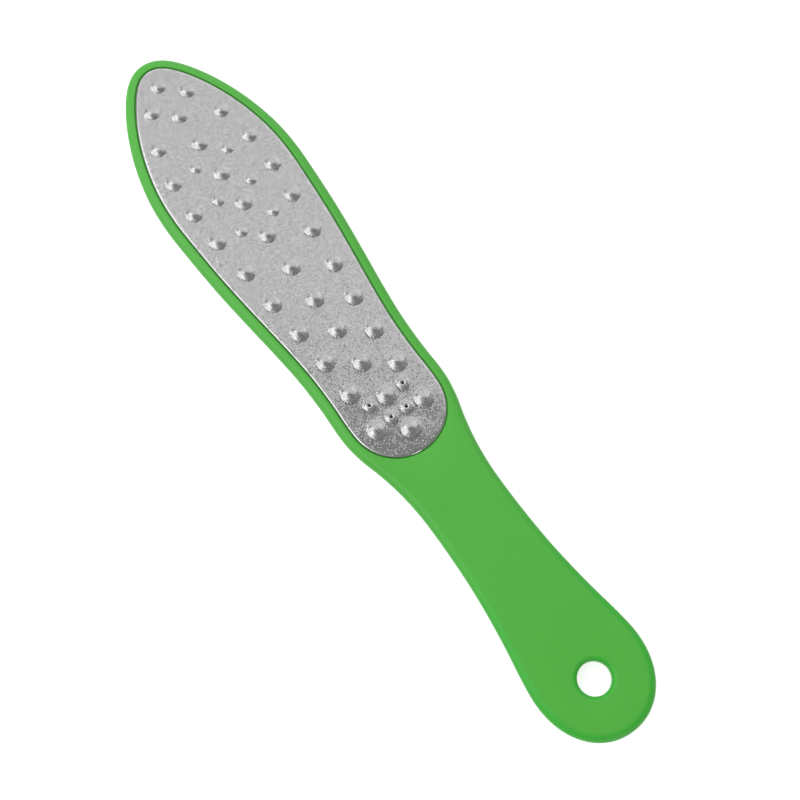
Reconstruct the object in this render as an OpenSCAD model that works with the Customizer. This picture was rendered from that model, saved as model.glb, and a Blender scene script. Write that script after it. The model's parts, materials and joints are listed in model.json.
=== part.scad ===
// Double-sided foot file: a moulded paddle with a pressed steel rasp plate on its upper face
// and a flat fine plate on its lower face, each bonded in a shallow recess.
// The tip points along +Y, the domes point along +Z, and the origin lies under the middle of
// the outline, on the plane of the fine plate's face.

/* [Outline] */
// Overall length, from the tip to the butt
file_len = 260; // [245:1:290]
// From the tip to the widest part of the head
nose_len = 53; // [46:1:60]
// From the widest part of the head to the shoulder
taper_len = 89; // [80:1:100]
// From the shoulder to the narrowest part of the neck
throat_len = 38; // [32:1:46]
// From the widest part of the grip to the end of the butt
butt_len = 22; // [19:0.5:25]
// Width of the head
head_w = 50; // [44:0.5:56]
// Width at the shoulder, where the plates end
shoulder_w = 37.8; // [34:0.2:42]
// Width of the neck
neck_w = 26; // [22:0.5:30]
// Width of the grip
grip_w = 36.8; // [32:0.2:42]

/* [Moulding] */
// Thickness of the moulded body
body_t = 5; // [4.4:0.1:7]
// How far in from the outline the rounded edge reaches
edge_w = 2.8; // [2:0.1:2.9]
// Height of the flat band at the parting line
parting_h = 0.4; // [0.2:0.1:0.8]
// Width of the plastic rim beside the plates
rim_w = 3; // [3:0.1:4]
// Width of the plastic rim at the tip
tip_rim_w = 3.5; // [3:0.1:4.5]

/* [Hanging hole] */
// Bore of the hanging hole
hole_d = 10.2; // [7:0.1:12]
// From the butt to the centre of the hanging hole
hole_inset = 18.5; // [15:0.5:22]
// Rounding of the hole's two mouths
mouth_r = 1.8; // [0.6:0.1:1.9]

/* [Plates] */
// Thickness of the sheet steel
sheet_t = 0.4; // [0.3:0.05:0.5]
// Depth of a plate's turned-down edge, from its face
flange_h = 1; // [0.9:0.05:1.2]
// Outside radius of the turned-down edge
bend_r = 0.7; // [0.55:0.05:0.8]
// How far a plate's face stands above the moulding
proud_h = 0.4; // [0.2:0.05:0.6]
// Gap between a plate's edge and the wall of its recess
plate_gap = 0.4; // [0.2:0.05:0.6]
// Clearance between the adhesive pad and the turned-down edge
pad_gap = 0.2; // [0.1:0.05:0.4]

/* [Domes] */
// Base diameter of the dome nearest to the tip
tip_dome_d = 5.8; // [4.5:0.1:6.2]
// Height of that dome
tip_dome_h = 0.6; // [0.4:0.05:0.9]
// Base diameter of the dome nearest to the heel
heel_dome_d = 6.8; // [6:0.1:7]
// Height of that dome
heel_dome_h = 1; // [0.7:0.05:1.4]
// Diameter at which the crown of that dome ends and the hollow sweep at its root begins
crown_d = 5.4; // [4.2:0.1:5.8]
// Base diameter of the small domes
small_dome_d = 4.3; // [3.4:0.1:4.6]
// Height of the small domes
small_dome_h = 0.5; // [0.35:0.05:0.65]

/* [Pierced domes] */
// Base diameter of a pierced dome
crater_d = 4.8; // [3.8:0.1:4.8]
// Diameter of the crest that runs round its hole
crest_d = 1.8; // [1.6:0.1:2.2]
// Height of the crest
crest_h = 0.5; // [0.3:0.05:0.6]
// Radius over the crest
crest_r = 0.6; // [0.55:0.05:0.8]
// Diameter of the hole at the foot of the funnel inside the crest
pierce_d = 0.5; // [0.3:0.1:0.7]

/* [Hidden] */
$fn = 48;

// Half outline of the nose: share of nose_len from the tip, share of the head's half width
nose_shares = [
    [0.017, 0.164], [0.06, 0.302], [0.132, 0.438], [0.226, 0.568],
    [0.349, 0.702], [0.49, 0.82], [0.66, 0.922], [0.83, 0.983], [1, 1]
];
// The taper: share of taper_len, share of the drop from the head's width to the shoulder's
taper_shares = [
    [0.124, 0.082], [0.281, 0.246], [0.438, 0.5], [0.596, 0.787],
    [0.73, 0.984], [0.865, 1.033], [1, 1]
];
// The throat: share of throat_len, share of the drop from the shoulder's width to the neck's
throat_shares = [[0.184, 0.19], [0.368, 0.525], [0.605, 0.831], [0.842, 0.98], [1, 1]];
// The grip: share of its length, share of the rise from the neck's width to the grip's
grip_shares = [[0.172, 0.026], [0.345, 0.115], [0.517, 0.294], [0.69, 0.545], [0.862, 0.85], [1, 1]];
// Share of the butt's two half axes at each of these angles is a power of their sine and cosine
butt_angles = [16, 34, 52, 68, 81];
butt_share = 0.952;

// Domes on the middle line, as shares of the plate's length from its tip
spine_shares = [
    0.042, 0.124, 0.2, 0.282, 0.362, 0.449, 0.535, 0.619, 0.698, 0.782, 0.867, 0.949
];
// Pairs of domes beside it: share of the plate's length, share of its greatest half width
side_shares = [
    [0.085, 0.316], [0.163, 0.554], [0.244, 0.672], [0.325, 0.695], [0.404, 0.652], [0.492, 0.581],
    [0.579, 0.536], [0.66, 0.476], [0.741, 0.424], [0.823, 0.411], [0.914, 0.405]
];
// Pairs of small domes and of pierced domes, in the same shares
small_shares = [[0.243, 0.284], [0.329, 0.287], [0.413, 0.28]];
pierced_shares = [[0.865, 0.287], [0.909, 0.131]];

// Steps of the drawn curves
spline_steps = 3;
heel_steps = 9;
edge_steps = 6;
bend_steps = 4;
crown_steps = 6;
root_steps = 4;

// Overrun of cuts, and the flat collar that a revolved dome shares with the sheet round it
overrun = 1;
collar_w = 0.2;

grip_len = file_len - nose_len - taper_len - throat_len - butt_len;
shoulder_y = file_len / 2 - nose_len - taper_len;
edge_h = (body_t - parting_h) / 2;
body_z = proud_h;
mid_z = body_z + body_t / 2;
top_z = body_z + body_t;
face_z = top_z + proud_h;
recess_h = flange_h - proud_h;
plate_tip_y = file_len / 2 - tip_rim_w - plate_gap;
plate_half_w = head_w / 2 - rim_w - plate_gap;
plate_len = plate_tip_y - shoulder_y + shoulder_w / 2 - rim_w - plate_gap;

// A place on the outline: its distance behind the tip and its half width
function place(behind, half_w) = [half_w, file_len / 2 - behind];

function between(a, b, share) = a + share * (b - a);

butt_from = file_len - butt_len;
neck_at = nose_len + taper_len + throat_len;
stations = concat(
    [place(0, 0)],
    [for (s = nose_shares) place(s[0] * nose_len, s[1] * head_w / 2)],
    [for (s = taper_shares)
        place(nose_len + s[0] * taper_len, between(head_w, shoulder_w, s[1]) / 2)],
    [for (s = throat_shares)
        place(nose_len + taper_len + s[0] * throat_len, between(shoulder_w, neck_w, s[1]) / 2)],
    [for (s = grip_shares)
        place(neck_at + s[0] * grip_len, between(neck_w, grip_w, s[1]) / 2)],
    [for (a = butt_angles)
        place(butt_from + butt_len * pow(sin(a), butt_share), grip_w / 2 * pow(cos(a), butt_share))],
    [place(file_len, 0)]
);
last = len(stations) - 1;

// The curve runs through the stations, and through their mirror images past either end
function station(i) =
    i < 0 ? mirrored(stations[-i]) :
    i > last ? mirrored(stations[2 * last - i]) : stations[i];
function mirrored(p) = [-p[0], p[1]];

// Slope of the curve at a station, weighted by the lengths of the chords on its two sides
function slope(i) = let (
    before = norm(station(i) - station(i - 1)),
    after = norm(station(i + 1) - station(i))
) ((station(i) - station(i - 1)) * after / before + (station(i + 1) - station(i)) * before / after)
    / (before + after);

function curve_point(i, t) = let (chord = norm(station(i + 1) - station(i)))
    (2 * t ^ 3 - 3 * t ^ 2 + 1) * station(i)
    + (t ^ 3 - 2 * t ^ 2 + t) * chord * slope(i)
    + (3 * t ^ 2 - 2 * t ^ 3) * station(i + 1)
    + (t ^ 3 - t ^ 2) * chord * slope(i + 1);

// Right half of the outline from the tip to the butt, both ends on the middle line
right_side = concat(
    [for (i = [0:last - 1]) for (k = [0:spline_steps - 1]) curve_point(i, k / spline_steps)],
    [station(last)]
);

// Closes a right half with its mirror image
function closed(half) = concat(half, [for (i = [len(half) - 2:-1:1]) mirrored(half[i])]);

outline = closed(right_side);

function unit(v) = v / norm(v);
function outward(loop, i) = let (
    n = len(loop),
    run = loop[(i + 1) % n] - loop[(i + n - 1) % n]
) unit([-run[1], run[0]]);

// The outline moved in by one distance all the way round
function inset_outline(d) = [for (i = [0:len(outline) - 1]) outline[i] - d * outward(outline, i)];

// Outline of a recess or plate, further in than the recess wall by d: the head's own outline as
// far as the shoulder, then a round end
head_points = spline_steps * (len(nose_shares) + len(taper_shares));
function rim_at(i) = rim_w + (tip_rim_w - rim_w) * outward(outline, i)[1] ^ 2;
function plate_outline(d) = let (end_r = shoulder_w / 2 - rim_w - d) closed(concat(
    [for (i = [0:head_points - 1]) outline[i] - (rim_at(i) + d) * outward(outline, i)],
    [for (k = [0:heel_steps])
        [end_r * cos(90 * k / heel_steps), shoulder_y - end_r * sin(90 * k / heel_steps)]]
));

// Solid skin over closed outlines that all have the same number of points, each at its height
module skin(loops, heights) {
    n = len(loops[0]);
    half = n / 2;
    levels = len(loops);
    points = [for (k = [0:levels - 1]) for (p = loops[k]) [p[0], p[1], heights[k]]];
    walls = [for (k = [0:levels - 2]) for (i = [0:n - 1])
        [k * n + i, k * n + (i + 1) % n, (k + 1) * n + (i + 1) % n, (k + 1) * n + i]];
    first_cap = [for (i = [0:half - 1]) [(n - i) % n, n - i - 1, i + 1, i]];
    top = (levels - 1) * n;
    last_cap = [for (i = [0:half - 1]) [top + i, top + i + 1, top + n - i - 1, top + (n - i) % n]];
    polyhedron(points = points, faces = concat(first_cap, walls, last_cap));
}

module handle() {
    angles = [for (k = [0:edge_steps]) 90 * k / edge_steps];
    insets = [for (a = angles) edge_w * (1 - cos(a))];
    rises = [for (a = angles) edge_h * sin(a)];
    rings = concat(
        [for (k = [edge_steps:-1:0]) inset_outline(insets[k])],
        [for (k = [0:edge_steps]) inset_outline(insets[k])]
    );
    heights = concat(
        [for (k = [edge_steps:-1:0]) mid_z - parting_h / 2 - rises[k]],
        [for (k = [0:edge_steps]) mid_z + parting_h / 2 + rises[k]]
    );
    color("limegreen")
    difference() {
        skin(rings, heights);
        translate([0, 0, top_z - recess_h]) recess();
        translate([0, 0, body_z - overrun]) recess();
        translate([0, hole_inset - file_len / 2, mid_z]) hanging_hole();
    }
}

// Cut for one plate: as deep as the recess, and open past the face of the moulding
module recess() {
    linear_extrude(recess_h + overrun) polygon(plate_outline(0));
}

// Cut for the hanging hole: a straight bore with a rounded mouth on each face
module hanging_hole() {
    straight = body_t / 2 - mouth_r;
    mouth = [for (k = [0:edge_steps]) let (a = 90 * k / edge_steps)
        [hole_d / 2 + mouth_r * (1 - cos(a)), straight + mouth_r * sin(a)]];
    widest = hole_d / 2 + mouth_r;
    upper = concat(mouth, [[widest, body_t / 2 + overrun], [0, body_t / 2 + overrun]]);
    lower = [for (i = [len(upper) - 1:-1:0]) [upper[i][0], -upper[i][1]]];
    rotate_extrude() polygon(concat(lower, upper));
}

// A plate before its domes are pressed, face up at height zero: a sheet with its edge turned down
module pan() {
    outer_steps = [for (k = [0:bend_steps]) 90 * k / bend_steps];
    inner_r = bend_r - sheet_t;
    insets = concat(
        [for (k = [bend_steps:-1:0]) sheet_t + inner_r * (1 - cos(outer_steps[k]))],
        [sheet_t, 0],
        [for (a = outer_steps) bend_r * (1 - cos(a))]
    );
    heights = concat(
        [for (k = [bend_steps:-1:0]) inner_r * sin(outer_steps[k]) - bend_r],
        [-flange_h, -flange_h],
        [for (a = outer_steps) bend_r * sin(a) - bend_r]
    );
    skin([for (d = insets) plate_outline(plate_gap + d)], heights);
}

// Wall of one pressed dome on the sheet's face: an arc over its crown, a hollow sweep at its root
// and a flat collar. A pierced dome has a crest round its middle instead of a crown, and inside it
// the wall falls at the slope of the flank to a hole.
module dome(base_d, height, crown, middle_d = 0, hole = 0) {
    flank_w = (base_d - middle_d) / 2;
    turn = 2 * atan(height / flank_w);
    sweep = flank_w / sin(turn) - crown;
    first = hole > 0 ? -turn : 0;
    crown_at = [middle_d / 2, height - crown];
    root_at = [base_d / 2, sweep];
    crest_end = crown_at + crown * direction(first);
    throat = [hole / 2, crest_end[1] - tan(turn) * (crest_end[0] - hole / 2)];
    function side(depth) = concat(
        hole > 0 ? [throat - depth * direction(first)] : [],
        [for (k = [0:crown_steps])
            crown_at + (crown - depth) * direction(between(first, turn, k / crown_steps))],
        [for (k = [1:root_steps])
            root_at - (sweep + depth) * direction(between(turn, 0, k / root_steps))],
        [[base_d / 2 + collar_w, -depth]]
    );
    lower = side(sheet_t);
    rotate_extrude() polygon(concat(side(0), [for (i = [len(lower) - 1:-1:0]) lower[i]]));
}

// Direction at an angle from straight up
function direction(angle) = [sin(angle), cos(angle)];

// On all domes but the pierced ones the crown takes the same share of the width
module plain_dome(base_d, height) {
    turn = 2 * atan(2 * height / base_d);
    dome(base_d, height, crown_d / heel_dome_d * base_d / 2 / sin(turn));
}

// Cut in the flat sheet where a dome takes its place
module dome_seat(base_d) {
    translate([0, 0, -sheet_t - overrun / 2])
        cylinder(d = base_d + collar_w, h = sheet_t + overrun);
}

// Place on the plate's face of every dome, and the base diameter and height of the plain ones
function on_plate(along, across) = [across * plate_half_w, plate_tip_y - along * plate_len];
function grown(along, across) = [
    on_plate(along, across),
    between(tip_dome_d, heel_dome_d, along),
    between(tip_dome_h, heel_dome_h, along)
];
plain_domes = concat(
    [for (s = spine_shares) grown(s, 0)],
    [for (s = side_shares) for (side = [-1, 1]) grown(s[0], side * s[1])],
    [for (s = small_shares) for (side = [-1, 1])
        [on_plate(s[0], side * s[1]), small_dome_d, small_dome_h]]
);
pierced_domes = [for (s = pierced_shares) for (side = [-1, 1]) on_plate(s[0], side * s[1])];

module rasp_plate() {
    color("silver")
    translate([0, 0, face_z]) {
        difference() {
            pan();
            for (spot = plain_domes) translate(spot[0]) dome_seat(spot[1]);
            for (spot = pierced_domes) translate(spot) dome_seat(crater_d);
        }
        for (spot = plain_domes) translate(spot[0]) plain_dome(spot[1], spot[2]);
        for (spot = pierced_domes) translate(spot)
            dome(crater_d, crest_h, crest_r, crest_d, pierce_d);
    }
}

module fine_plate() {
    color("gainsboro") mirror([0, 0, 1]) pan();
}

// Adhesive pad, which fills the plate inside its turned-down edge
module pad() {
    linear_extrude(flange_h - sheet_t) polygon(plate_outline(plate_gap + sheet_t + pad_gap));
}

module rasp_adhesive() {
    color("dimgray") translate([0, 0, face_z - flange_h]) pad();
}

module fine_adhesive() {
    color("dimgray") translate([0, 0, sheet_t]) pad();
}

handle();
rasp_plate();
rasp_adhesive();
fine_plate();
fine_adhesive();
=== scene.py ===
# %% [markdown]
# This lesson dresses a double-sided foot file: a green moulded paddle that carries a pressed
# and etched steel rasp plate on one face and a flat fine plate on the other. The frame brings
# the plain solid pieces at their real size. For each of them the lesson asks what it is on the
# real file, how it could be made in Blender, and why one way is chosen.
# %% Load the frame
import json
import math
import random
import bmesh
import bpy
from mathutils import Matrix, Vector
from mathutils.bvhtree import BVHTree


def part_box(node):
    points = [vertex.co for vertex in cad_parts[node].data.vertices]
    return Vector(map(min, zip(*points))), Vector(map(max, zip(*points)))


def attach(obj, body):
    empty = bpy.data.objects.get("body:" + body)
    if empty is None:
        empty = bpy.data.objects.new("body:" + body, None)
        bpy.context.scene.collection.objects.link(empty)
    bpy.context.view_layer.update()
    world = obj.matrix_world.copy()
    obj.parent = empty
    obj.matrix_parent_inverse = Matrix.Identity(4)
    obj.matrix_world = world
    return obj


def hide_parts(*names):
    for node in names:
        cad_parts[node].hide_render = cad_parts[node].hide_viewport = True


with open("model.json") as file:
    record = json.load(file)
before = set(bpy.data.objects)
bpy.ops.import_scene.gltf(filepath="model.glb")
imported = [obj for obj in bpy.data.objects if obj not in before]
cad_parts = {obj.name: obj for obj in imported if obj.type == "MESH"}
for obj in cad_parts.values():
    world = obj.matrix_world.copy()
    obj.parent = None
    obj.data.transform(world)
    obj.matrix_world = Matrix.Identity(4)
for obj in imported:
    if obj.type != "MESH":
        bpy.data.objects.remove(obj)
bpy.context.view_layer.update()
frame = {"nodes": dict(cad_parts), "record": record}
MM = 0.001
handle_low, handle_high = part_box("handle")
print("handle measures", [round(s / MM, 1) for s in handle_high - handle_low], "mm")

# %% [markdown]
# The photograph looks down on the file from a little towards its butt, about 15 degrees off
# the vertical. The camera therefore stands nearly half a metre above a spot beside the grip
# and aims at the middle of the paddle. A camera that looks down keeps world Z as its up
# direction, which turns the file to the slant that it has in the picture.
# %% Place the camera
CAMERA_SPOT = Vector((-66.2, -106.8, 446.3)) * MM
CAMERA_AIM = Vector((2.84, -10.1, 2.9)) * MM
LENS = 67.5
SENSOR = 36

camera = bpy.data.objects.new("camera", bpy.data.cameras.new("camera"))
bpy.context.scene.collection.objects.link(camera)
camera.data.lens = LENS
camera.data.sensor_width = SENSOR
camera.location = CAMERA_SPOT
camera.rotation_euler = (CAMERA_AIM - CAMERA_SPOT).to_track_quat("-Z", "Y").to_euler()
bpy.context.scene.camera = camera
print("camera is", round((CAMERA_SPOT - CAMERA_AIM).length / MM), "mm from its aim")

# %% [markdown]
# Every new piece starts from an outline that the frame already has, so none is drawn twice.
# The frame's meshes are loose triangles, so a merged copy is taken first. In that copy, the
# edges that lie level at one height, and aren't inside a flat face, form closed loops: the
# outline of the moulding, the rim of a recess or the edge of a plate. A helper keeps one loop
# and throws the rest of the copy away.
# %% Read one closed loop of a frame piece
NEAR = 0.002 * MM
FLAT = 0.999


def islands(bm):
    """Groups of vertices that edges join, the longest group first."""
    groups, seen = [], set()
    for start in bm.verts:
        if start in seen:
            continue
        seen.add(start)
        group, waiting = [], [start]
        while waiting:
            vert = waiting.pop()
            group.append(vert)
            near = [e.other_vert(vert) for e in vert.link_edges]
            waiting += [v for v in near if v not in seen]
            seen.update(near)
        groups.append(group)
    return sorted(groups, key=lambda g: min(v.co.y for v in g) - max(v.co.y for v in g))


def merged_copy(node):
    bm = bmesh.new()
    bm.from_mesh(frame["nodes"][node].data)
    bmesh.ops.remove_doubles(bm, verts=bm.verts, dist=NEAR)
    return bm


def level_loop(node, height, rank=0):
    """One loop of a frame piece's level edges at that height; rank 0 is the longest."""
    bm = merged_copy(node)
    level = [e for e in bm.edges if all(abs(v.co.z - height) < NEAR for v in e.verts)]
    rim = {e for e in level if not all(abs(f.normal.z) > FLAT for f in e.link_faces)}
    bmesh.ops.delete(bm, geom=bm.faces[:], context="FACES_ONLY")
    bmesh.ops.delete(bm, geom=[e for e in bm.edges if e not in rim], context="EDGES")
    loops = islands(bm)
    spare = [v for loop in loops if loop is not loops[rank] for v in loop]
    bmesh.ops.delete(bm, geom=spare, context="VERTS")
    return bm


# %% [markdown]
# A loop from the frame has a point every two or three millimetres, and its corners would show
# as flats along a polished edge. Halving each edge and then easing every point half way
# towards its neighbours is one round of the rule behind B-spline curves: the corners melt
# away, and on curves as wide as these the loop shrinks by less than a thirtieth of a
# millimetre.
# %% Round a loop and cap it
HALF_WAY = 0.5


def cap_loop(bm, height, up=1):
    """Rounds a loop, brings it to that height and fills it with one face that looks up or down."""
    bmesh.ops.subdivide_edges(bm, edges=bm.edges[:], cuts=1)
    bmesh.ops.smooth_vert(bm, verts=bm.verts, factor=HALF_WAY, use_axis_x=True, use_axis_y=True)
    bmesh.ops.translate(bm, verts=bm.verts, vec=(0, 0, height - bm.verts[:][0].co.z))
    cap = bmesh.ops.contextual_create(bm, geom=bm.edges[:])["faces"][0]
    if cap.normal.z * up < 0:
        cap.normal_flip()
    return cap


# %% [markdown]
# A rounded edge, a lip, a rolled border and a pressed dome are all the same thing: a closed
# outline that moves in, or out, while it climbs. Inset Faces does exactly that to one face,
# with a thickness and a depth, and it leaves a ring of faces behind at each step. The steps
# come from an arc, so one short list says each profile.
# %% Climb from a cap in steps
def arc(across, up, first, last, count):
    """Steps along an arc, from one angle to another: how far in and how far up each goes."""
    turns = [math.radians(first + (last - first) * k / count) for k in range(count + 1)]
    return [
        (across * (math.cos(a) - math.cos(b)), up * (math.sin(b) - math.sin(a)))
        for a, b in zip(turns, turns[1:])
    ]


def climb(bm, cap, steps):
    for inwards, upwards in steps:
        bmesh.ops.inset_region(
            bm, faces=[cap], thickness=inwards, depth=upwards,
            use_boundary=True, use_even_offset=True,
        )


# %% [markdown]
# The paddle is one injection moulding in a green plastic. Its edge is a soft, slightly flat
# round from the parting line to either face. It could be bevelled, but a bevel this wide
# would need a clean solid first, so the half above the parting line is climbed from the
# outline instead and mirrored at the end. All heights are taken from the parting plane.
# %% Climb the outer edge of the moulding
PARTING_BAND = 0.4 * MM
EDGE_WIDTH = 2.8 * MM
EDGE_STEPS = 9

mid_z = (handle_low.z + handle_high.z) / 2
half_thickness = handle_high.z - mid_z
band = PARTING_BAND / 2

edge = level_loop("handle", mid_z + band)
edge_cap = cap_loop(edge, 0)
climb(edge, edge_cap, [(0, band)] + arc(EDGE_WIDTH, half_thickness - band, 0, 90, EDGE_STEPS))
bmesh.ops.delete(edge, geom=[edge_cap], context="FACES_ONLY")
print("outer edge:", len(edge.faces), "faces in", EDGE_STEPS + 1, "rings")

# %% [markdown]
# The plate sits in a shallow recess, whose lip the mould rounds a little. The recess is
# climbed from its floor: straight up the wall, then outwards over the lip, which an inset
# with a negative thickness does. The hanging hole is made the same way from a circle on the
# parting plane, with a much larger round at its mouth that a cord or a hook can slide over.
# %% Climb the recess and the hanging hole
LIP = 0.12 * MM
LIP_STEPS = 3
MOUTH = 1.8 * MM
MOUTH_STEPS = 9
HOLE_SEGMENTS = 72

recess_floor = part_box("rasp_plate")[0].z - mid_z
recess = level_loop("handle", handle_high.z, rank=1)
recess_cap = cap_loop(recess, recess_floor)
wall = half_thickness - recess_floor - LIP
climb(recess, recess_cap, [(0, wall)] + arc(-LIP, LIP, 0, 90, LIP_STEPS))
bmesh.ops.delete(recess, geom=[recess_cap], context="FACES_ONLY")

mount = next(m for m in frame["record"]["mounts"] if m["name"] == "hanging_hole")
hole_spot = Vector(mount["pos_m"]).to_2d().to_3d()
hole = bmesh.new()
bmesh.ops.create_circle(
    hole, cap_ends=True, segments=HOLE_SEGMENTS, radius=mount["dims"]["r_mm"] * MM,
    matrix=Matrix.Translation(hole_spot),
)
hole_cap = hole.faces[:][0]
climb(hole, hole_cap, [(0, half_thickness - MOUTH)] + arc(-MOUTH, MOUTH, 0, 90, MOUTH_STEPS))
bmesh.ops.delete(hole, geom=[hole_cap], context="FACES_ONLY")
print("recess is", round((half_thickness - recess_floor) / MM, 2), "mm deep")

# %% [markdown]
# The three parts now end in open loops at the level of the face. Triangle Fill spans a flat
# area between nested loops and leaves the inner ones open, which suits both the face and the
# floor of the recess. The half is then mirrored, since both faces carry the same recess. A
# mirrored shell can be inside out, so its normals are worked out again.
# %% Fill the flats and mirror the half
def joined(*parts):
    """One bmesh from several, which are freed."""
    bm = bmesh.new()
    for part in parts:
        mesh = bpy.data.meshes.new("part")
        part.to_mesh(mesh)
        part.free()
        bm.from_mesh(mesh)
        bpy.data.meshes.remove(mesh)
    return bm


def fill_level(bm, height):
    """Fills the flat area between the open loops at that height."""
    rims = [e for e in bm.edges if e.is_boundary and abs(e.verts[0].co.z - height) < NEAR]
    bmesh.ops.triangle_fill(bm, edges=rims, use_beauty=True, normal=(0, 0, 1))


moulding = joined(edge, recess, hole)
fill_level(moulding, half_thickness)
fill_level(moulding, recess_floor)
bmesh.ops.mirror(moulding, geom=moulding.faces[:] + moulding.edges[:] + moulding.verts[:],
                 axis="Z", merge_dist=NEAR)
bmesh.ops.remove_doubles(moulding, verts=moulding.verts, dist=NEAR / 2)
bmesh.ops.recalc_face_normals(moulding, faces=moulding.faces)
print("moulding closed:", all(e.is_manifold for e in moulding.edges))

# %% [markdown]
# Where the two halves of the mould met, a faint line runs round the edge. It is real shape
# and not only colour, so the ring of points on the parting plane is drawn in by a few
# hundredths of a millimetre. Finished pieces are put in the scene by one helper, which also
# shades them smooth and keeps edges sharp where two faces meet at a clear angle.
# %% Add the parting line and place the moulding
PARTING_DEPTH = 0.05 * MM
SHARP_ANGLE = math.radians(35)


def place(bm, name, slot, *replaced, smooth=True):
    for face in bm.faces:
        face.smooth = smooth
    for shared in bm.edges:
        if shared.is_manifold and shared.calc_face_angle() > SHARP_ANGLE:
            shared.smooth = False
    mesh = bpy.data.meshes.new(name)
    bm.to_mesh(mesh)
    bm.free()
    piece = bpy.data.objects.new(name, mesh)
    bpy.context.scene.collection.objects.link(piece)
    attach(piece, "root")
    if replaced:
        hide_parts(*replaced)
    print(name, "has", len(mesh.polygons), "faces")
    return piece


seam = [v for v in moulding.verts if abs(v.co.z) < NEAR and abs(v.normal.z) < FLAT]
hole_reach = mount["dims"]["r_mm"] * MM + MOUTH
for vert in seam:
    if (vert.co - hole_spot).length > hole_reach:
        vert.co -= vert.normal * PARTING_DEPTH
bmesh.ops.translate(moulding, verts=moulding.verts, vec=(0, 0, mid_z))
moulding_piece = place(moulding, "moulding", "handle_plastic", "handle")

# %% [markdown]
# Both plates are thin stainless sheet with the edge turned down into the recess. The teeth
# are what the etching left of the sheet's first surface, so the sheet between them lies a
# tooth's height lower. The sheet is climbed from the lower edge of its border: up the turned
# edge, over the roll, and on to a narrow flat ring that the face joins.
# %% Climb the border of a plate
TOOTH_HEIGHT = 0.1 * MM
SHEET = 0.4 * MM
BEND_RADIUS = 0.7 * MM
BEND_STEPS = 6
BORDER_FLAT = 0.1 * MM

fine_low, fine_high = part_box("fine_plate")
flange = fine_high.z - fine_low.z


def border(node, start_z, up):
    """The turned-down edge of a plate, open at its face, and the height of that face."""
    bm = level_loop(node, start_z)
    cap = cap_loop(bm, start_z, up)
    roll = arc(BEND_RADIUS, BEND_RADIUS - TOOTH_HEIGHT, 0, 90, BEND_STEPS)
    climb(bm, cap, [(0, flange - BEND_RADIUS)] + roll + [(BORDER_FLAT, 0)])
    bmesh.ops.delete(bm, geom=[cap], context="FACES_ONLY")
    return bm, start_z + up * (flange - TOOTH_HEIGHT)


rasp_low, rasp_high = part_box("rasp_plate")
rasp_border, rasp_z = border("rasp_plate", rasp_low.z, 1)
fine_border, fine_z = border("fine_plate", fine_high.z, -1)
print("sheet between the teeth lies at", round(rasp_z / MM, 2), "and", round(fine_z / MM, 2), "mm")

# %% [markdown]
# Domes are pressed up through the rasp sheet with a round punch. Four near the heel are pierced
# as well and look like small craters: a round crest with a funnel inside it. The frame has every
# dome where it belongs, so its solid is asked for them: without its flat faces and what lies
# below them, each dome is an island that starts at the face; the hollow under it is another,
# which starts higher. A dome's box gives its centre and size. Its highest point lies over its
# centre or, on a pierced dome, on the crest, and the point nearest to the centre is the hole's.
# %% Find the domes in the frame
PIERCED_SHARE = 0.1

face_z = rasp_low.z + flange
dome_rims = merged_copy("rasp_plate")
below = [v for v in dome_rims.verts if v.co.z < face_z - NEAR]
bmesh.ops.delete(dome_rims, geom=below, context="VERTS")
flats = [f for f in dome_rims.faces if abs(f.calc_center_median().z - face_z) < NEAR]
bmesh.ops.delete(dome_rims, geom=flats, context="FACES")

domes = []
for island in islands(dome_rims):
    if min(v.co.z for v in island) > face_z + NEAR:
        continue
    low_x, high_x = min(v.co.x for v in island), max(v.co.x for v in island)
    low_y, high_y = min(v.co.y for v in island), max(v.co.y for v in island)
    middle = Vector(((low_x + high_x) / 2, (low_y + high_y) / 2, 0))
    reach = {v: (v.co.to_2d() - middle.to_2d()).length for v in island}
    top = max(island, key=lambda v: v.co.z)
    domes.append({
        "middle": middle, "base": (high_x - low_x) / 2, "height": top.co.z - face_z,
        "crest": reach[top], "hole": min(reach.values()),
    })
dome_rims.free()
pierced = [d for d in domes if d["hole"] > PIERCED_SHARE * d["base"]]
plain = [d for d in domes if d not in pierced]
print(len(plain), "plain domes and", len(pierced), "pierced ones, with holes of radius",
      round(pierced[0]["hole"] / MM, 2), "mm")

# %% [markdown]
# Seen from the side, a dome is two arcs: a crown, and a hollow sweep where the sheet bends out of
# its plane. They meet at the steepest point of the flank, and its slope follows from the height
# and the width of the flank alone. A dome is climbed from the circle at its foot. The crown of a
# plain one takes three quarters of its width, which keeps it broad and soft, and is closed by
# poking the last small face. A pierced one goes over its crest and straight down the funnel to
# the hole. Only the largest plain dome and one pierced dome are made: the others are copies.
# %% Climb one dome of each kind
DOME_SEGMENTS = 48
CROWN_STEPS = 8
ROOT_STEPS = 5


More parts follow.
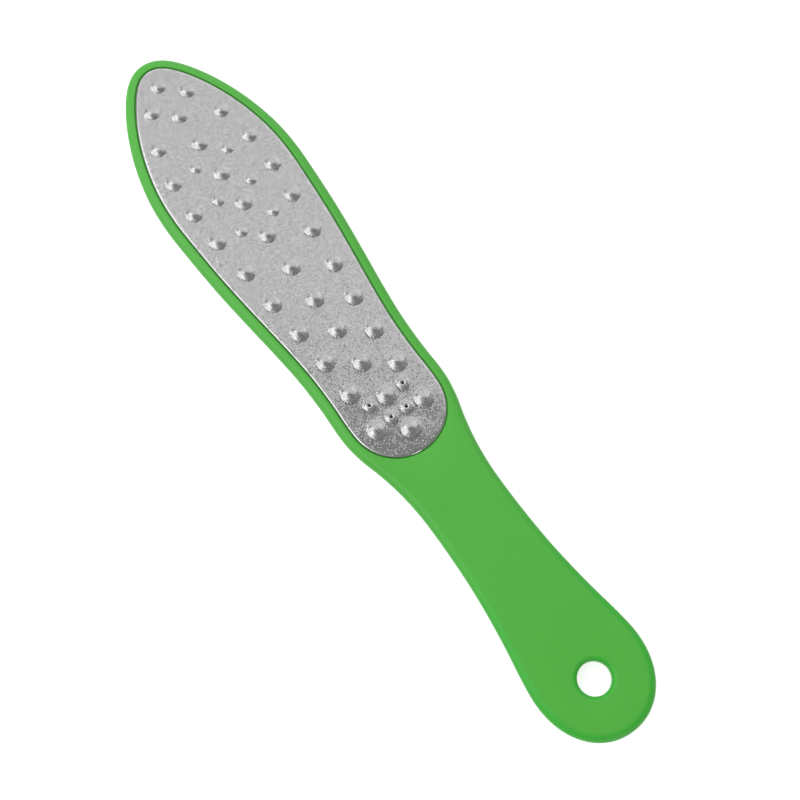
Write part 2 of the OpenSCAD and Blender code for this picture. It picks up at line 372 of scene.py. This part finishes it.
def press_dome(base, height, crown, crest=0, hole=0):
    """A dome of those radii; crest and hole are nought for a plain one."""
    flank = base - crest
    turn = 2 * math.atan(height / flank)
    sweep = flank / math.sin(turn) - crown
    slope = math.degrees(turn)
    bm = bmesh.new()
    bmesh.ops.create_circle(bm, cap_ends=True, segments=DOME_SEGMENTS, radius=base)
    cap = bm.faces[:][0]
    climb(bm, cap, arc(-sweep, sweep, -90, slope - 90, ROOT_STEPS))
    if hole:
        climb(bm, cap, arc(crown, crown, 90 - slope, 90 + slope, 2 * CROWN_STEPS))
        fall = crest - crown * math.sin(turn) - hole
        climb(bm, cap, [(fall, -fall * math.tan(turn))])
        bmesh.ops.delete(bm, geom=[cap], context="FACES_ONLY")
    else:
        last = 90 - slope / CROWN_STEPS
        climb(bm, cap, arc(crown, crown, 90 - slope, last, CROWN_STEPS - 1))
        bmesh.ops.poke(bm, faces=[cap], offset=crown * (1 - math.sin(math.radians(last))))
    mesh = bpy.data.meshes.new("dome")
    bm.to_mesh(mesh)
    bm.free()
    print("a flank rises at", round(slope), "degrees")
    return mesh


CROWN_SHARE = 0.76
CREST_RADIUS = 0.6 * MM

largest = max(plain, key=lambda d: d["base"])
flank_turn = 2 * math.atan(largest["height"] / largest["base"])
crown_radius = CROWN_SHARE * largest["base"] / math.sin(flank_turn)
plain_dome = press_dome(largest["base"], largest["height"], crown_radius)
crater = press_dome(pierced[0]["base"], pierced[0]["height"], CREST_RADIUS,
                    pierced[0]["crest"], pierced[0]["hole"])

# %% [markdown]
# The sheet is the border, all domes at their places, and one flat fill between them. It is a
# single skin so far, in which each dome is a copy stretched to the width and height that the
# frame gives it. A Solidify modifier gives the skin the wall of the real sheet, inwards, so
# that the visible side stays where it is and a pierced hole shows its edge.
# %% Press the domes into the rasp sheet
dome_field = bmesh.new()
for dome in domes:
    before = len(dome_field.verts)
    dome_field.from_mesh(crater if dome in pierced else plain_dome)
    own = dome_field.verts[:][before:]
    model = pierced[0] if dome in pierced else largest
    growth = dome["base"] / model["base"]
    bmesh.ops.scale(dome_field, verts=own, vec=(growth, growth, dome["height"] / model["height"]))
    bmesh.ops.translate(dome_field, verts=own, vec=dome["middle"] + Vector((0, 0, rasp_z)))
bpy.data.meshes.remove(plain_dome)
bpy.data.meshes.remove(crater)


def finish_sheet(bm, height, name, node):
    """Fills a sheet's face, points its faces outwards and gives it a wall."""
    fill_level(bm, height)
    bmesh.ops.recalc_face_normals(bm, faces=bm.faces)
    outside = max(bm.faces, key=lambda f: f.calc_area())
    if outside.normal.z * (height - mid_z) < 0:
        bmesh.ops.reverse_faces(bm, faces=bm.faces)
    skin = BVHTree.FromBMesh(bm)
    piece = place(bm, name, "etched_steel", node)
    solidify = piece.modifiers.new("wall", "SOLIDIFY")
    solidify.thickness = SHEET - TOOTH_HEIGHT
    solidify.offset = -1
    return piece, skin


rasp_shell = joined(rasp_border, dome_field)
rasp_sheet, rasp_skin = finish_sheet(rasp_shell, rasp_z, "rasp_sheet", "rasp_plate")
fine_sheet, fine_skin = finish_sheet(fine_border, fine_z, "fine_sheet", "fine_plate")

# %% [markdown]
# The etchant leaves rows of small teeth, nearly twelve thousand on the rasp side here. Modelling
# them one by one is hopeless, and a bump pattern would vanish from the exported mesh. A grid
# makes them all at once: each cell is shrunk on its own, dropped on the sheet with a ray, and
# raised by a second inset into a little block with sloping sides and no underside, since that
# is sunk in the sheet. In the photograph the rows run over the domes too, so the sheet was
# probably etched before it was pressed. Here they run over the domes and a little way over the
# bend, and only the mouths of the pierced domes stay bare. No two teeth are quite level: each
# top leans by a small chance, more on the stretched domes. Where the plate mirrors the edge of
# a lamp, some teeth catch it and some miss it, and the plate looks grainy. The chance is seeded
# with the piece's name, so each run gives the same teeth.
# %% Grow teeth on a sheet
REACH = 10 * MM
SINK = 0.01 * MM
TOOTH_SIDE = 0.085 * MM
LEAN = 0.025
DOME_LEAN = 0.035
BARE_SHARE = 0.42
BEND_DROP = 0.1 * MM


def grow_teeth(name, skin, face, up, pitch, gap, bare=()):
    """Teeth in straight rows over the whole face; sizes are across and along the file."""
    size = rasp_high - rasp_low
    counts = [int(size.x / pitch[0]), int(size.y / pitch[1])]
    stretch = Matrix.Diagonal((counts[0] * pitch[0] / 2, counts[1] * pitch[1] / 2, 1, 1))
    centre = Matrix.Translation(((rasp_low + rasp_high) / 2).to_2d().to_3d())
    bm = bmesh.new()
    bmesh.ops.create_grid(bm, x_segments=counts[0], y_segments=counts[1], size=1,
                          matrix=centre @ stretch)
    if up < 0:
        bmesh.ops.reverse_faces(bm, faces=bm.faces)
    cells = bm.faces[:]
    bmesh.ops.inset_individual(bm, faces=cells, thickness=gap / 2, use_even_offset=True)
    kept = set(cells)
    bmesh.ops.delete(bm, geom=[f for f in bm.faces if f not in kept], context="FACES")
    lost = []
    for vert in bm.verts:
        above = Vector((vert.co.x, vert.co.y, face + up * REACH))
        spot = skin.ray_cast(above, Vector((0, 0, -up)))[0]
        if spot is None or (spot.z - face) * up < -BEND_DROP:
            lost.append(vert)
        elif any((spot - d["middle"]).to_2d().length < BARE_SHARE * d["base"] for d in bare):
            lost.append(vert)
        else:
            vert.co.z = spot.z - up * SINK
    bmesh.ops.delete(bm, geom=lost, context="VERTS")
    print(name, "has", len(bm.faces), "teeth")
    tops = bm.faces[:]
    bmesh.ops.inset_individual(bm, faces=tops, thickness=TOOTH_SIDE, depth=TOOTH_HEIGHT + SINK,
                               use_even_offset=True)
    chance = random.Random(name)
    for top in tops:
        middle = top.calc_center_median()
        on_dome = (middle.z - face) * up > TOOTH_HEIGHT + SINK
        spread = DOME_LEAN if on_dome else LEAN
        lean = Vector((chance.gauss(0, spread), chance.gauss(0, spread), 0))
        for vert in top.verts:
            vert.co.z += (vert.co - middle).dot(lean)
    return place(bm, name, "etched_steel", smooth=False)


# The spacing is a guess. It is about two pixels of the picture, because finer rows would not show.
RASP_PITCH = (0.68 * MM, 0.62 * MM)
RASP_GAP = 0.11 * MM
FINE_PITCH = (0.55 * MM, 0.6 * MM)
FINE_GAP = 0.06 * MM

rasp_teeth = grow_teeth("rasp_teeth", rasp_skin, rasp_z, 1, RASP_PITCH, RASP_GAP, bare=pierced)
fine_teeth = grow_teeth("fine_teeth", fine_skin, fine_z, -1, FINE_PITCH, FINE_GAP)

# %% [markdown]
# Colours are written as the hex values that a paint program shows, and one function turns
# them into the linear values that the shader works with. A second helper adds a node with its
# settings and links, so each material below reads as a short list.
# %% Two helpers for materials
def hex_colour(code):
    """Linear colour of an sRGB hex code."""
    parts = [int(code[i:i + 2], 16) / 255 for i in (1, 3, 5)]
    return tuple(
        p / 12.92 if p <= 0.04045 else ((p + 0.055) / 1.055) ** 2.4 for p in parts
    ) + (1,)


def add_node(tree, kind, inputs=None, **settings):
    """A node with its settings; each input is a value, or another node's output to link."""
    node = tree.nodes.new(kind)
    for name, value in settings.items():
        setattr(node, name, value)
    for name, value in (inputs or {}).items():
        if isinstance(value, bpy.types.NodeSocket):
            tree.links.new(value, node.inputs[name])
        else:
            node.inputs[name].default_value = value
    return node


def new_material(name):
    material = bpy.data.materials.new(name)
    material.use_nodes = True
    tree = material.node_tree
    return material, tree, tree.nodes["Principled BSDF"]


# %% [markdown]
# The paddle is ABS, injection moulded and finished with a soft-touch lacquer. The lacquer is
# matt and slightly rubbery, so highlights spread wide and pale. A slow cloud moves its green and
# its gloss a little, and a fine grain roughens it. In the photograph the green is darker on the
# rounded edges of the grip and round the hole. Here that is painted shade: a darker green is
# painted in where the surface drops away from the face, in place of the pale sheen that those
# edges don't catch, and it fades out towards the neck. It reads the place on the piece and not
# the camera, so it stays put in every view.
# %% Soft-touch green ABS
GREENS = ("#4AB136", "#50B53B")
# Painted shade: the next green darkens the rounded edges near the butt, in place of the sheen they
# miss.
EDGE_SHADE_GREEN = "#36B32D"
LACQUER_ROUGHNESS = (0.42, 0.5)
LACQUER_IOR = 1.5
LACQUER_SPECULAR = 0.5
CLOUD = 18 * MM
CLOUD_OCTAVES = 3.0
FINE_OCTAVES = 2.0
GRAIN = 0.25 * MM
GRAIN_HEIGHT = 0.02 * MM
GRAIN_STRENGTH = 0.25
EDGE_FALL = 0.15 * MM
BUTT_SPOT = -90 * MM
NECK_SPOT = -30 * MM

soft_abs, tree, surface = new_material("soft_touch_abs")
coords = add_node(tree, "ShaderNodeTexCoord").outputs["Object"]
cloud = add_node(tree, "ShaderNodeTexNoise", {
    "Vector": coords, "Scale": 1 / CLOUD, "Detail": CLOUD_OCTAVES,
})
grain = add_node(tree, "ShaderNodeTexNoise", {
    "Vector": coords, "Scale": 1 / GRAIN, "Detail": FINE_OCTAVES,
})
green = add_node(tree, "ShaderNodeMix", {
    "Factor": cloud.outputs["Fac"], "A": hex_colour(GREENS[0]), "B": hex_colour(GREENS[1]),
}, data_type="RGBA")
spot = add_node(tree, "ShaderNodeSeparateXYZ", {"Vector": coords}).outputs
from_middle = add_node(tree, "ShaderNodeMath", {0: spot["Z"], 1: mid_z}, operation="SUBTRACT")
from_middle = add_node(tree, "ShaderNodeMath", {0: from_middle.outputs[0]}, operation="ABSOLUTE")
rounded = add_node(tree, "ShaderNodeMapRange", {
    "Value": from_middle.outputs[0],
    "From Min": half_thickness - EDGE_FALL, "From Max": half_thickness,
    "To Min": 1.0, "To Max": 0.0,
})
shade_towards_butt = add_node(tree, "ShaderNodeMapRange", {
    "Value": spot["Y"], "From Min": BUTT_SPOT, "From Max": NECK_SPOT,
    "To Min": 1.0, "To Max": 0.0,
})
# Painted shade: how much of the darker edge green is painted in, most on the rounded edges near
# the butt.
edge_shade = add_node(tree, "ShaderNodeMath", {
    0: rounded.outputs["Result"], 1: shade_towards_butt.outputs["Result"],
}, operation="MULTIPLY")
green = add_node(tree, "ShaderNodeMix", {
    "Factor": edge_shade.outputs[0], "A": green.outputs["Result"], "B": hex_colour(EDGE_SHADE_GREEN),
}, data_type="RGBA")
dullness = add_node(tree, "ShaderNodeMapRange", {
    "Value": cloud.outputs["Fac"],
    "To Min": LACQUER_ROUGHNESS[0], "To Max": LACQUER_ROUGHNESS[1],
})
relief = add_node(tree, "ShaderNodeBump", {
    "Height": grain.outputs["Fac"], "Strength": GRAIN_STRENGTH, "Distance": GRAIN_HEIGHT,
})
tree.links.new(green.outputs["Result"], surface.inputs["Base Color"])
tree.links.new(dullness.outputs["Result"], surface.inputs["Roughness"])
tree.links.new(relief.outputs["Normal"], surface.inputs["Normal"])
surface.inputs["IOR"].default_value = LACQUER_IOR
surface.inputs["Specular IOR Level"].default_value = LACQUER_SPECULAR
moulding_piece.data.materials.append(soft_abs)

# %% [markdown]
# The plates are stainless steel, photo-etched. Etching leaves a fine satin on the sheet and on
# the teeth, so the steel mirrors its lamps softly and its tone is finely mottled. The domes are
# a little duller than the flats, which keeps their bright and dark flanks from looking polished.
# Their height above the sheet tells the shader where they are.
# %% Etched stainless steel
STEEL_GREYS = ("#9A9A9A", "#D4D4D4")
MOTTLE = 0.5 * MM
SATIN = 0.12 * MM
SATIN_HEIGHT = 0.01 * MM
SATIN_STRENGTH = 0.2
STEEL_ROUGHNESS = (0.125, 0.22)
DOME_FOOT = 0.13 * MM
DOME_FLANK = 0.3 * MM

etched, tree, surface = new_material("etched_stainless")
coords = add_node(tree, "ShaderNodeTexCoord").outputs["Object"]
satin = add_node(tree, "ShaderNodeTexNoise", {
    "Vector": coords, "Scale": 1 / SATIN, "Detail": FINE_OCTAVES,
})
mottle = add_node(tree, "ShaderNodeTexNoise", {
    "Vector": coords, "Scale": 1 / MOTTLE, "Detail": FINE_OCTAVES,
})
grey = add_node(tree, "ShaderNodeMix", {
    "Factor": mottle.outputs["Fac"],
    "A": hex_colour(STEEL_GREYS[0]), "B": hex_colour(STEEL_GREYS[1]),
}, data_type="RGBA")
spot = add_node(tree, "ShaderNodeSeparateXYZ", {"Vector": coords}).outputs
dullness = add_node(tree, "ShaderNodeMapRange", {
    "Value": spot["Z"], "From Min": rasp_z + DOME_FOOT, "From Max": rasp_z + DOME_FLANK,
    "To Min": STEEL_ROUGHNESS[0], "To Max": STEEL_ROUGHNESS[1],
}, interpolation_type="SMOOTHSTEP")
relief = add_node(tree, "ShaderNodeBump", {
    "Height": satin.outputs["Fac"], "Strength": SATIN_STRENGTH, "Distance": SATIN_HEIGHT,
})
tree.links.new(dullness.outputs["Result"], surface.inputs["Roughness"])
tree.links.new(relief.outputs["Normal"], surface.inputs["Normal"])
tree.links.new(grey.outputs["Result"], surface.inputs["Base Color"])
surface.inputs["Metallic"].default_value = 1
for piece in (rasp_sheet, fine_sheet, rasp_teeth, fine_teeth):
    piece.data.materials.append(etched)

# %% [markdown]
# Under each plate lies a pad of acrylic foam tape, which nothing in the photograph shows. It is
# sealed in, but it is a real piece, so it gets its own closed-cell look: dark grey and dull,
# with round cells a little lighter at their middle.
# %% Acrylic foam
FOAM_GREYS = ("#46474A", "#393A3D")
FOAM_ROUGHNESS = 0.7
CELL = 0.4 * MM

foam, tree, surface = new_material("acrylic_foam")
coords = add_node(tree, "ShaderNodeTexCoord").outputs["Object"]
cells = add_node(tree, "ShaderNodeTexVoronoi", {"Vector": coords, "Scale": 1 / CELL})
grey = add_node(tree, "ShaderNodeMix", {
    "Factor": cells.outputs["Distance"],
    "A": hex_colour(FOAM_GREYS[0]), "B": hex_colour(FOAM_GREYS[1]),
}, data_type="RGBA")
tree.links.new(grey.outputs["Result"], surface.inputs["Base Color"])
surface.inputs["Roughness"].default_value = FOAM_ROUGHNESS
for name in ("rasp_adhesive", "fine_adhesive"):
    frame["nodes"][name].data.materials.clear()
    frame["nodes"][name].data.materials.append(foam)

# %% [markdown]
# The floor is a plain pale sheet far larger than the view. Its own colour is a light grey, so
# that it throws less light back on the object. To the camera and in reflections it glows as
# well, so that it reads as the photograph's white while it still takes the object's shadow.
# %% Lay the floor
FLOOR_HALF = 2
FLOOR_GREY = "#C8C8C8"
FLOOR_ROUGHNESS = 0.9
FLOOR_GLOW = 0.75
WHITE = (1, 1, 1, 1)

bm = bmesh.new()
bmesh.ops.create_grid(bm, x_segments=1, y_segments=1, size=FLOOR_HALF)
floor_mesh = bpy.data.meshes.new("floor")
bm.to_mesh(floor_mesh)
bm.free()
floor = bpy.data.objects.new("floor", floor_mesh)
bpy.context.scene.collection.objects.link(floor)

paper, tree, surface = new_material("white_paper")
rays = add_node(tree, "ShaderNodeLightPath").outputs
seen = add_node(tree, "ShaderNodeMath", {
    0: rays["Is Camera Ray"], 1: rays["Is Glossy Ray"],
}, operation="MAXIMUM")
seen = add_node(tree, "ShaderNodeMath", {
    0: seen.outputs[0], 1: rays["Is Transmission Ray"],
}, operation="MAXIMUM")
glow = add_node(tree, "ShaderNodeMath", {0: seen.outputs[0], 1: FLOOR_GLOW}, operation="MULTIPLY")
surface.inputs["Base Color"].default_value = hex_colour(FLOOR_GREY)
surface.inputs["Roughness"].default_value = FLOOR_ROUGHNESS
surface.inputs["Emission Color"].default_value = WHITE
tree.links.new(glow.outputs[0], surface.inputs["Emission Strength"])
floor_mesh.materials.append(paper)

# %% [markdown]
# Metal shows its surroundings, so the lamps decide how the plate looks. In the photograph each
# dome has a white flank at its left and a dark one at its lower right, and the flats are pale
# but turn grainy at the heel. That asks for a wide soft box overhead, whose lower edge is just
# what the heel mirrors, two boxes at the left that add up, and next to nothing at the right. A
# weak box stands at the camera's left, and a small bright one low at the lower right. Each lamp
# is placed by a direction, given as right and up in the picture and up from the floor, and by
# its distance. Lamps that overlap stand at different distances, because at the same one they
# would hide each other.
# %% Hang the lamps
PICTURE_RIGHT = Vector((0.814, -0.581, 0))
PICTURE_UP = Vector((0.581, 0.814, 0))
UPWARD = Vector((0, 0, 1))

# Name, direction, distance, width, height and radiance of each lamp
LAMPS = (
    ("top", (0, 0.7187, 0.6953), 1.5, 2.6, 1.878, 0.84),
    ("left", (-0.73, -0.1, 0.68), 1.3, 1.5, 1.1, 0.95),
    ("left_wide", (-0.74, -0.12, 0.66), 1.4, 1.5, 1.5, 0.65),
    ("right", (0.85, 0.1, 0.5), 1.4, 1.2, 1.0, 0.12),
    ("near", (-0.4, -0.35, 0.85), 1.6, 1.3, 1.1, 0.35),
    ("low", (0.5, -0.84, 0.24), 1.5, 0.35, 0.35, 5.0),
)


def soft_box(name, spot, width, height, radiance):
    """A lamp that looks at the object, with its width level, and sends out that radiance."""
    lamp = bpy.data.lights.new(name, "AREA")
    lamp.shape = "RECTANGLE"
    lamp.size = width
    lamp.size_y = height
    lamp.energy = radiance * math.pi * width * height
    box = bpy.data.objects.new(name, lamp)
    bpy.context.scene.collection.objects.link(box)
    box.location = spot
    box.rotation_euler = (-spot).to_track_quat("-Z", "Y").to_euler()


for name, (right, above, upward), distance, width, height, radiance in LAMPS:
    stand = (PICTURE_RIGHT * right + PICTURE_UP * above + UPWARD * upward) * distance
    soft_box(name, stand, width, height, radiance)
print(len(LAMPS), "lamps, the nearest", round(min(lamp[2] for lamp in LAMPS), 1), "m away")

# %% [markdown]
# The room itself gives an even light. It is a little brighter near the horizon, which lifts the
# sides of the moulding, and a little dimmer straight overhead.
# %% Light the room
HORIZON_GLOW = 0.45
ROOM_GLOW = 0.3
HORIZON_RISE = (0.02, 0.2)
WALL_GLOW = 0.08
CEILING_RISE = (0.94, 0.985)

world = bpy.data.worlds.new("studio")
bpy.context.scene.world = world
world.use_nodes = True
tree = world.node_tree
sight = add_node(tree, "ShaderNodeTexCoord").outputs["Generated"]
rise = add_node(tree, "ShaderNodeSeparateXYZ", {"Vector": sight}).outputs["Z"]
room = add_node(tree, "ShaderNodeMapRange", {
    "Value": rise, "From Min": HORIZON_RISE[0], "From Max": HORIZON_RISE[1],
    "To Min": HORIZON_GLOW, "To Max": ROOM_GLOW,
}, interpolation_type="SMOOTHSTEP")
walls = add_node(tree, "ShaderNodeMapRange", {
    "Value": rise, "From Min": CEILING_RISE[0], "From Max": CEILING_RISE[1],
    "To Min": WALL_GLOW, "To Max": 0.0,
}, interpolation_type="SMOOTHSTEP")
glow = add_node(tree, "ShaderNodeMath", {
    0: room.outputs["Result"], 1: walls.outputs["Result"],
}, operation="ADD")
background = tree.nodes["Background"]
tree.links.new(glow.outputs[0], background.inputs["Strength"])
background.inputs["Color"].default_value = WHITE
bpy.context.scene.view_settings.view_transform = "Standard"
